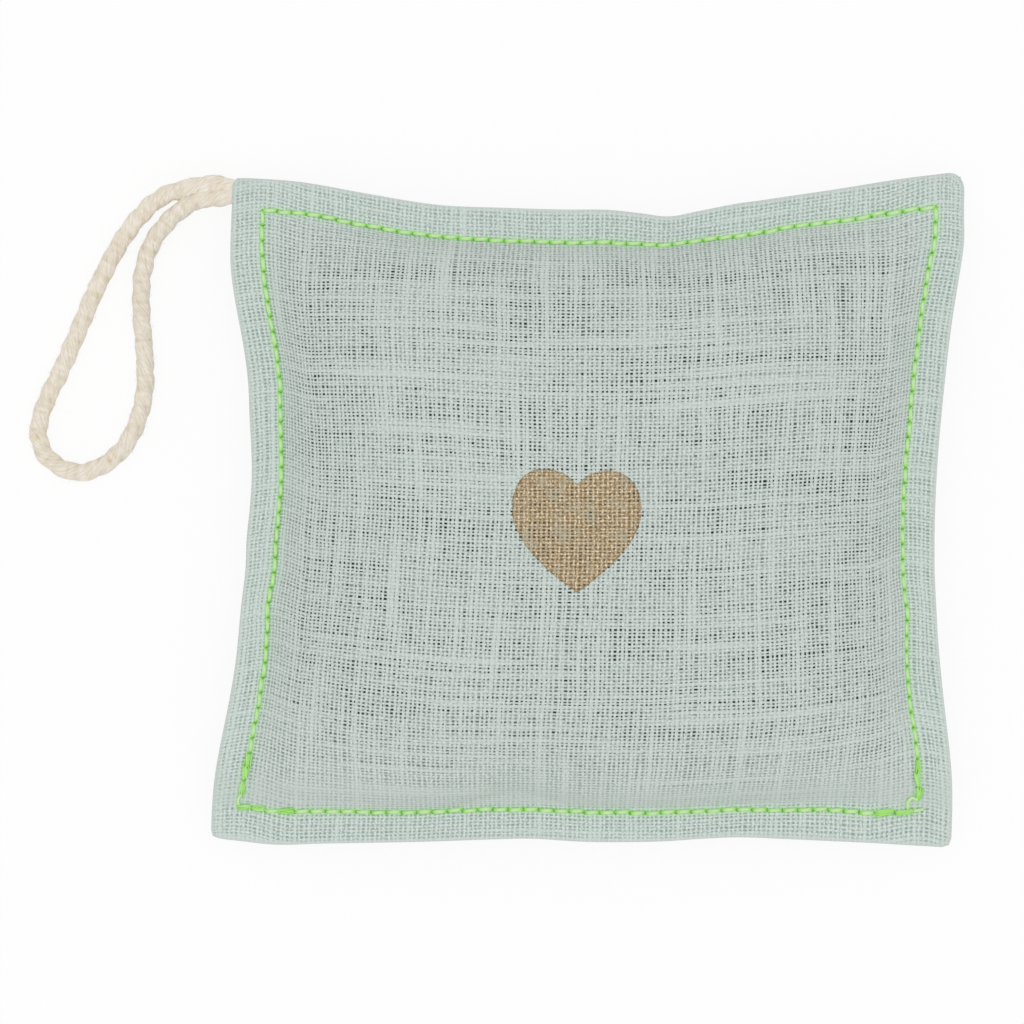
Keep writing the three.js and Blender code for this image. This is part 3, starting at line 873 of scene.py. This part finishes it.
linen_finish = linen()
gilt_finish = gilt_print()
# Each thread's deepest colour is the painted shade of its needle holes
green_finish = sewing_thread("green_polyester_thread", "#D4F6BE", "#9EEE58", "#3F9850")
pale_finish = sewing_thread("pale_polyester_thread", "#D9E2DC", "#C3CFC8", "#9DABA2")
cotton_finish = cotton()
lavender_finish = lavender()

# The hanging loop: its route out of the corner by the upper leg, round and back by the lower one, as the
# photograph shows it, in millimetres from the middle of the bend, and the share of the way up from the
# table to that bend
LOOP_ROUTE = [
    (8.0, 0.8, 1.17),
    (4.6, 0.9, 1.03),
    (2.4, 1.25, 1.0),
    (0.6, 1.5, 1.0),
    (-2.2, 1.2, 0.97),
    (-5.0, 0.65, 0.83),
    (-8.4, -0.7, 0.5),
    (-11.7, -3.7, 0.22),
    (-15.0, -8.1, 0.05),
    (-18.3, -14.3, 0.0),
    (-21.5, -21.7, 0.0),
    (-24.8, -29.2, 0.0),
    (-27.3, -34.6, 0.0),
    (-28.4, -38.9, 0.0),
    (-27.5, -42.6, 0.0),
    (-24.8, -44.9, 0.0),
    (-21.5, -45.7, 0.0),
    (-18.1, -44.7, 0.0),
    (-14.6, -41.9, 0.0),
    (-12.3, -37.8, 0.0),
    (-11.0, -32.4, 0.0),
    (-11.0, -26.0, 0.0),
    (-11.5, -19.3, 0.0),
    (-11.4, -13.6, 0.02),
    (-9.9, -8.5, 0.12),
    (-7.1, -4.6, 0.42),
    (-4.6, -2.35, 0.75),
    (-2.2, -0.95, 0.94),
    (0.6, -0.6, 0.98),
    (2.4, -0.55, 1.02),
    (4.6, -0.5, 1.09),
    (8.0, -0.5, 1.22),
]
CORD_STEP = 0.25
FUZZ = 260  # stray fibres
FUZZ_FREE = 6  # none so close to the cord's ends
HAIR = 0.022  # radius of one
HAIR_RINGS = 5
HAIR_SIDES = 3
HAIR_ROOT = 1.15  # from the middle of the cord
HAIR_LENGTHS = (0.35, 0.8)
HAIR_UNDER = 0.5  # radians below the sides of the cord
HAIR_LEAN = 0.8
HAIR_CURL = 0.5


def under_camera(points):
    """Points read off the photograph at the border's height, moved along the lines of sight to their own."""
    eye = np.array([CAMERA_X, CAMERA_Y, CAMERA_HEIGHT])
    share = (eye[2] - points[:, 2:]) / (eye[2] - SEAM_HEIGHT)
    return np.hstack([eye[:2] + (points[:, :2] - eye[:2]) * share, points[:, 2:]])


def cord_path():
    """The middle of the cord from end to end."""
    route = np.array(LOOP_ROUTE)
    points = BEND + route * (1, 1, 0)
    points[:, 2] = LYING_HEIGHT + (BEND[2] - LYING_HEIGHT) * route[:, 2]
    return curve_through(under_camera(points), CORD_STEP)


def strand(k, path, long):
    """Strand k of the cord, and how deep each of its points lies in the valleys between strands."""
    inside = np.minimum(long, long[-1] - long)
    flat = CRUSH + (1 - CRUSH) * smooth(*CRUSH_FADES, inside)
    flat = flat * (FRAYED + (1 - FRAYED) * smooth(*FRAY_FADES, inside))
    narrow = NARROWED + (1 - NARROWED) * smooth(*NARROW_FADES, inside)
    turn = 2 * math.pi * (long / CORD_LAY + k / STRANDS)
    swell = 1 + sum(share * np.sin(long * rate + shift * k) for share, rate, shift in SWELLS)
    swell = swell + LOOSE_END * np.exp(-(((inside - LOOSE_AT) / LOOSE_REACH) ** 2))
    middle = STRAND_OFFSET * np.stack([np.cos(turn), np.sin(turn)], -1)
    around, ring = circle(4 * YARNS)
    yarns = 1 + YARN_RELIEF * np.cos(YARNS * (around - turn[:, None] * YARN_TURN))
    section = middle[:, None] + STRAND * ring * (swell[:, None] * yarns)[..., None]
    valley = 1 - smooth(*VALLEY, np.linalg.norm(section, axis=-1))
    section[..., 1] *= flat[:, None]
    section[..., 0] *= narrow[:, None]
    return swept(path, upright(len(path)), section), valley.ravel()


def stray_fibres(path, long):
    """Fine cotton fibres that stand off the cord, each a short bent hair."""
    up = np.array([0.0, 0.0, 1.0])
    q = np.linspace(0, 1, HAIR_RINGS)[:, None]
    hairs = []
    for at in draw.uniform(FUZZ_FREE, long[-1] - FUZZ_FREE, FUZZ):
        k = int(np.searchsorted(long, at))
        ahead = unit(path[k + 1] - path[k - 1])
        side = unit(np.cross(ahead, up))
        angle = draw.uniform(-HAIR_UNDER, math.pi + HAIR_UNDER)
        out = math.cos(angle) * side + math.sin(angle) * up
        lean = draw.normal(0, HAIR_LEAN) * ahead
        reach = draw.uniform(*HAIR_LENGTHS)
        curl = draw.normal(0, HAIR_CURL)
        hair = path[k] + out * HAIR_ROOT + (out + lean) * q * reach + ahead * q**2 * curl
        hair[:, 2] = np.maximum(hair[:, 2], TABLE_GAP)
        hairs.append(plain_tube(hair, upright(HAIR_RINGS), HAIR, HAIR_SIDES))
    return hairs


def hanging_loop():
    """Three loose cotton strands laid together, with stray fibres, out of the corner and back into it."""
    path = cord_path()
    long = lengths_along(path)
    laid = [strand(k, path, long) for k in range(STRANDS)]
    hairs = stray_fibres(path, long)
    vertices, faces, uv = gathered([tube for tube, _ in laid] + hairs)
    valleys = np.concatenate([valley for _, valley in laid])
    marks = {"valley": np.pad(valleys, (0, len(vertices) - len(valleys)))}
    loop = piece("hanging_cord", vertices, faces, cotton_finish, uv, "along", marks)
    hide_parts("hanging_loop", "cord_ends")
    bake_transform(loop)


hanging_loop()


# The bag

FILL_INSET = 4  # from the foot of the pad to the filling's edge
FILL_LINES = (111, 99)
BUDS = 2200
BUD_RADIUS = 1.4
BUD_DEPTH = 0.6
UNDER_FRONT = 0.9  # from the outside of the front panel to the tops of the buds
OVER_BACK = 0.7


def lavender_fill():
    """The filling, lumpy with buds, just inside the two panels."""
    reach = np.array([half_width, half_length]) - border - FILL_INSET
    lines = [np.linspace(-half, half, count) for half, count in zip(reach, FILL_LINES)]
    a, b = np.meshgrid(*lines, indexing="ij")
    buds = draw.uniform(-reach, reach, (BUDS, 2))
    depth = np.zeros(a.shape)
    for i in range(len(a)):
        away = np.hypot(a[i][:, None] - buds[:, 0], b[i][:, None] - buds[:, 1]).min(axis=1)
        depth[i] = np.minimum(away / BUD_RADIUS, 1) ** 2
    top = cloth_place(a, b, 1)
    top[..., 2] -= UNDER_FRONT + BUD_DEPTH * depth
    bottom = cloth_place(a, b, -1)
    bottom[..., 2] += OVER_BACK + BUD_DEPTH * depth
    faces = closed_sheet(grid_quads(*a.shape), a.size)
    points = np.concatenate([top.reshape(-1, 3), bottom.reshape(-1, 3)])
    fill = piece("lavender_buds", points, faces.tolist(), lavender_finish)
    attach(fill, "bag")
    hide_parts("lavender_fill")
    return fill


def grid_lines(half):
    """Where the lines of a panel's grid lie, from hem to hem, with a fold at half to either side."""
    inner = half - FIRST_LINE
    even = np.linspace(-inner, inner, round(2 * inner / GRID) + 1)
    return np.concatenate([FOLD_LINES - half, even, (half - FOLD_LINES)[::-1]])


def cloth_marks(flat):
    """What the linen has to know about places on the flat cloth, each from 0 to 1."""
    across = np.abs(flat[:, 0])
    along = flat[:, 1]
    inset = np.minimum(stitch_a - across, stitch_b - np.abs(along))
    from_fold = np.minimum(fold_a - across, fold_b - np.abs(along))
    from_thread = np.minimum(from_line(flat, border_run), from_line(flat, closing_run))
    # The filling lies a little further from the bottom seam, so the painted shade in the gaps deepens later
    # there, and the top border's gaps carry the least painted shade
    over_seam = stitch_b + along
    to_filling = np.minimum(inset, over_seam * BOTTOM_LAG)
    on_border = HEM_GAP_SHADE - TOP_PALER * smooth(stitch_b - TOP_BLEND, stitch_b + TOP_BLEND, along)
    return {
        "gap_shade": on_border + (1 - on_border) * smooth(*GAP_SHADE_DEEPENS, to_filling),
        "over_pad": smooth(*PAD_STARTS, inset),
        "folded": 1 - smooth(*FOLD_ENDS, from_fold),
        "green_bounce": GREEN_BOUNCE * np.exp(-((from_thread / GREEN_BOUNCE_REACH) ** 2)),
        "aslant": smooth(*STEEP_FROM, over_seam) * (1 - smooth(*STEEP_TO, over_seam)),
    }


def panel(name, face, finish):
    """One linen panel as a closed sheet, with folded edges and turned-in hems whose corners are cut away."""
    a, b = np.meshgrid(grid_lines(fold_a), grid_lines(fold_b), indexing="ij")
    outer = cloth_place(a, b, face)
    slope_a = np.gradient(outer, axis=0)
    slope_b = np.gradient(outer, axis=1)
    inner = outer - unit(np.cross(slope_a, slope_b)) * face * CLOTH
    quads = grid_quads(*a.shape)
    past_fold = (np.abs(a) > fold_a + fold_arc) & (np.abs(b) > fold_b + fold_arc)
    quads = quads[~past_fold.ravel()[quads].any(axis=1)]
    if face < 0:
        quads = quads[:, ::-1]
    used, faces = np.unique(closed_sheet(quads, a.size), return_inverse=True)
    faces = faces.reshape(-1, 4)
    points = np.concatenate([outer.reshape(-1, 3), inner.reshape(-1, 3)])[used]
    flat = np.stack([a.ravel(), b.ravel()], -1)
    flat = np.concatenate([flat, flat])[used]
    uv = (flat / FLAT_SPAN + 0.5)[faces]
    return piece(name, points, faces.tolist(), finish, uv, marks=cloth_marks(flat))


def linen_panels(fill):
    for name, node, face in (("front_linen", "front_panel", 1), ("back_linen", "back_panel", -1)):
        cloth = panel(name, face, linen_finish)
        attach(cloth, "bag")
        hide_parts(node)


linen_panels(lavender_fill())


def heart_outline(count):
    """A heart of four curves, mirrored, as points round it."""
    w = HEART_WIDTH / 2
    h = HEART_HEIGHT / 2
    curves = [
        [(0, 0.73 * h), (0.25 * w, 1.08 * h), (w, 1.15 * h), (w, 0.33 * h)],
        [(w, 0.33 * h), (w, -0.18 * h), (0.46 * w, -0.66 * h), (0, -h)],
    ]
    t = np.linspace(0, 1, count // 4, endpoint=False)[:, None]
    right = []
    for p0, p1, p2, p3 in np.array(curves):
        right.append((1 - t) ** 3 * p0 + 3 * (1 - t) ** 2 * t * p1 + 3 * (1 - t) * t**2 * p2 + t**3 * p3)
    right = np.vstack([*right, [(0, -h)]])
    left = right[1:-1][::-1] * (-1, 1)
    return np.vstack([right, left])


def heart_print():
    """The printed heart, a film of ink on the weave, its edge ragged from yarn to yarn."""
    outline = heart_outline(HEART_POINTS)
    outline = outline + draw.normal(0, RAGGED, outline.shape)
    outline[:, 1] -= LOBE_DROP * outline[:, 0] * np.clip(outline[:, 1] / HEART_HEIGHT * 2, 0, 1)
    shares = np.linspace(1, 0, HEART_RINGS + 1)[:-1]
    rings = (outline[None] * shares[:, None, None]).reshape(-1, 2)
    flat_xy = np.vstack([rings, [(0.0, 0.0)]]) + (HEART_X, HEART_Y)
    a, b = flat_under(flat_xy[:, 0], flat_xy[:, 1])
    film = cloth_place(a, b, 1)
    up = cloth_up(a, b, 1)
    points = np.vstack([film + up * PRINT, film + up * PRINT_UNDER])
    n = len(outline)
    count = len(film)
    faces = []
    for ring in range(HEART_RINGS):
        for k in range(n):
            m = (k + 1) % n
            p = [ring * n + m, ring * n + k]
            p += [(ring + 1) * n + k, (ring + 1) * n + m] if ring + 1 < HEART_RINGS else [count - 1]
            faces.append(p)
            faces.append([v + count for v in p[::-1]])
    for k in range(n):
        m = (k + 1) % n
        faces.append([k, m, m + count, k + count])
    uv_at = np.tile(np.stack([a, b], -1) / FLAT_SPAN + 0.5, (2, 1))
    uv = [uv_at[v] for face in faces for v in face]
    made = piece("gilt_heart", points, faces, gilt_finish, uv)
    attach(made, "bag")
    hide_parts("heart_print")


heart_print()


# Stitching


def places_along(corners, step):
    """Places along straight lines between corners on the cloth, a whole number of steps to each line."""
    places = [np.array(corners[0], float)]
    for start, end in zip(corners, corners[1:]):
        start = np.array(start, float)
        end = np.array(end, float)
        steps = max(1, round(np.linalg.norm(end - start) / step))
        places += [start + (end - start) * k / steps for k in range(1, steps + 1)]
    return np.array(places)


# One stitch
RINGS = 17
SIDES = 10
SLANT = 0.1  # a lockstitch lies a little across its seam
REST = 0.13  # from the cloth to the middle of the thread
DIVE = 0.06  # how deep that middle goes in at each end
ARCH_POWER = 7  # a higher power makes it dive later
FLATTENED = 0.7  # a stitch pulled tight is this high for its width
PLY_RELIEF = 0.1
PLY_TURNS = 2.2  # of the plies along a stitch
# Painted shade of each needle hole on the thread
HOLE_SIDE = 0.35 * math.pi  # where the needle hole shows, round from the inner side of the thread to its top
HOLE_REACH = 0.42  # lower powers spread the hole's shade along the stitch, and round it
HOLE_WIDTH = 1.5
THICKNESSES = (0.9, 1.06)
ASIDE = 0.08  # how far a stitch strays to a side

# Stitches sewn back over the end of a run, each a spread bundle of plies
TACK_STRANDS = 6
TACK_SPREAD = 0.24
TACK_MISS = 0.22  # how far its ends miss the first holes
TACK_BOW = 0.12
TACK_THICK = (0.4, 0.6)
TACK_RAISED = (0.05, 0.3)
TACK_TINT = (0.1, 0.36)
TACK_TAPER = 0.5
TACK_HOLE = 0.5

# A slack thread
SLACK_STEP = 0.15
SLACK_REST = 0.2
SLACK_RADIUS = 0.42  # share of the thread's width
SLACK_TINT = 0.05


def one_stitch(start, end, face, thick, aside, raised=0.0, tint=0.0, taper=0.1, hole=1.0):
    """A stitch of three-ply thread from hole to hole: it rests on the cloth and dives in at both ends."""
    q = np.linspace(0, 1, RINGS)
    arch = 1 - np.abs(2 * q - 1) ** ARCH_POWER
    way = unit(end - start)
    across = np.array([-way[1], way[0]])
    flat = start + (end - start) * q[:, None]
    flat = flat + across * (SLANT * (2 * q - 1) + aside * arch)[:, None]
    on_cloth = cloth_place(flat[:, 0], flat[:, 1], face)
    up = cloth_up(flat[:, 0], flat[:, 1], face)
    path = on_cloth + up * (-DIVE + (DIVE + REST + raised) * arch)[:, None]
    around, ring = circle(SIDES)
    plies = 1 + PLY_RELIEF * np.cos(PLIES * (around[None] - 2 * math.pi * q[:, None] * PLY_TURNS))
    radius = THREAD / 2 * thick * (1 - taper + taper * np.sin(math.pi * q))
    section = radius[:, None, None] * plies[..., None] * ring * (1, FLATTENED)
    # Painted shade: the hole shows on the side of the seam that the needle leans from, darkest where the
    # thread dives in
    shown = 0.5 + 0.5 * np.cos(around - HOLE_SIDE)
    hole_shade_and_tint = np.maximum(hole * (1 - arch)[:, None] ** HOLE_REACH * shown**HOLE_WIDTH, tint)
    return swept(path, up, section), hole_shade_and_tint.ravel()


def sewn_run(corners, face):
    """Lockstitches one after another along a run, each a little different."""
    holes = places_along(corners, STITCH)
    made = []
    for start, end in zip(holes, holes[1:]):
        thick = draw.uniform(*THICKNESSES)
        made.append(one_stitch(start, end, face, thick, draw.normal(0, ASIDE)))
    return made


def sewn_over(corners, face):
    """Stitches sewn back over the end of a run, their plies spread apart and a little off the first holes."""
    holes = places_along(corners, STITCH)
    made = []
    for start, end in zip(holes, holes[1:]):
        for spread in np.linspace(-TACK_SPREAD, TACK_SPREAD, TACK_STRANDS):
            missed = draw.normal(0, TACK_MISS, (2, 2))
            bow = spread + draw.normal(0, TACK_BOW)
            thick = draw.uniform(*TACK_THICK)
            raised = draw.uniform(*TACK_RAISED)
            tint = draw.uniform(*TACK_TINT)
            ends = (start + missed[0], end + missed[1])
            made.append(one_stitch(*ends, face, thick, bow, raised, tint, TACK_TAPER, TACK_HOLE))
    return made


def loose_thread(points, face):
    """A slack thread lying on the cloth through places read off the photograph."""
    line = curve_through(points, SLACK_STEP)
    a, b = flat_under(line[:, 0], line[:, 1])
    up = cloth_up(a, b, face)
    path = cloth_place(a, b, face) + up * SLACK_REST
    return plain_tube(path, up, SLACK_RADIUS * THREAD, SIDES), np.full(len(path) * SIDES, SLACK_TINT)


def stitches(name, made, finish):
    """All the stitches of one thread as one piece, in the place of the thread of that name."""
    vertices, faces, uv = gathered([tube for tube, _ in made])
    marks = {"hole_shade_and_tint": np.concatenate([hole_shade_and_tint for _, hole_shade_and_tint in made])}
    sewn = piece(f"{name}_stitches", vertices, faces, finish, uv, "along", marks)
    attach(sewn, "bag")
    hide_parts(f"{name}_thread")


def needle_and_bobbin():
    """The border and its closing run, sewn from the front, with the bobbin's stitches on the back."""
    for side, face in (("needle", 1), ("bobbin", -1)):
        border_made = sewn_run(border_run, face)
        border_made += sewn_over([left_turn, left_tack], face)
        border_made += sewn_over([right_tack, right_turn], face)
        closing_made = sewn_run(closing_run, face)
        closing_made += sewn_over([closing_from, closing_tack], face)
        closing_made += sewn_over([closing_pale, closing_next], face)
        closing_made += sewn_over([closing_over, closing_to], face)
        if face > 0:
            border_made += [loose_thread(SLACK_LEFT, 1), loose_thread(SLACK_RIGHT, 1)]
            closing_made.append(loose_thread(SLACK_TAIL, 1))
        stitches(f"border_{side}", border_made, green_finish)
        stitches(f"closing_{side}", closing_made, green_finish)


needle_and_bobbin()

SEAM_THREAD = 0.3
SEAM_INSET = 0.35
SEAM_STITCH = 1.2
SEAM_SWAY = 0.12  # up and down by turns, from stitch to stitch
SEAM_SIDES = 8


def edge_seam():
    """The hidden seam along both sides and the top, which also goes through the cord's ends."""
    a = half_width - SEAM_INSET
    b = half_length - SEAM_INSET
    corners = [(-a, -b), (-a, b), (a, b), (a, -b)]
    line = places_along(corners, SEAM_STITCH)
    a, b = line.T
    in_a, in_b = rounded(half_width - np.abs(a), half_length - np.abs(b), a, b)
    x, y = plan(np.sign(a) * (half_width - in_a), np.sign(b) * (half_length - in_b))
    droop = np.abs(a / half_width * b / half_length) ** DROOP_POWER
    path = np.stack([x, y, SEAM_HEIGHT - CORNER_DROOP * droop], -1)
    path[:, 2] += SEAM_SWAY * (-1) ** np.arange(len(path))
    tube = plain_tube(path, upright(len(path)), SEAM_THREAD / 2, SEAM_SIDES)
    stitches("edge_seam", [(tube, np.zeros(len(path) * SEAM_SIDES))], pale_finish)


edge_seam()

# Floor, light and world, in metres
FLOOR_REACH = 4.0
LAMP_SIZE = 0.9
LAMP_HEIGHT = 0.85
LAMP_FORWARD = 0.05
LAMP_POWER = 2.1
WORLD_LIGHT = 0.755
FLOOR_WHITE = 0.88  # share of the floor that is plain white to the eye; the rest shows the shadow


def seen_directly(add):
    """1 for rays from the camera, reflections and what is seen through glass, 0 for light on the object."""
    rays = add("LightPath").node.outputs
    seen = add("Math", rays["Is Camera Ray"], rays["Is Glossy Ray"], operation="MAXIMUM")
    return add("Math", seen, rays["Is Transmission Ray"], operation="MAXIMUM")


def studio_floor():
    """A sheet of smooth white paper, matt, which keeps a faint shadow."""
    sides = ((-1, -1), (1, -1), (1, 1), (-1, 1))
    mesh = bpy.data.meshes.new("floor")
    mesh.from_pydata([(x * FLOOR_REACH, y * FLOOR_REACH, 0) for x, y in sides], [], [(0, 1, 2, 3)])
    material, add = new_material("white_paper_floor")
    paper = add("BsdfDiffuse", linear("#FAFAFA"))
    white = add("Emission", linear("#FFFFFF"), 1.0)
    share = add("Math", seen_directly(add), FLOOR_WHITE, operation="MULTIPLY")
    add("OutputMaterial", add("MixShader", share, paper, white))
    mesh.materials.append(material)
    floor = bpy.data.objects.new("floor", mesh)
    bpy.context.collection.objects.link(floor)


def studio_light():
    """One large soft lamp overhead, and an even white world."""
    lamp = bpy.data.lights.new("softbox", "AREA")
    lamp.shape = "SQUARE"
    lamp.size = LAMP_SIZE
    lamp.energy = LAMP_POWER
    hung = bpy.data.objects.new("softbox", lamp)
    hung.location = (0.0, -LAMP_FORWARD, LAMP_HEIGHT)
    hung.rotation_euler = (math.atan2(LAMP_FORWARD, LAMP_HEIGHT), 0.0, 0.0)
    bpy.context.collection.objects.link(hung)
    world = bpy.data.worlds.new("studio")
    world.use_nodes = True
    world.node_tree.nodes.clear()
    add = adder(world)
    strength = add("MapRange", seen_directly(add), 0.0, 1.0, WORLD_LIGHT, 1.0)
    add("OutputWorld", add("Background", linear("#FFFFFF"), strength))
    bpy.context.scene.world = world


studio_floor()
studio_light()
bpy.context.scene.view_settings.view_transform = "Standard"
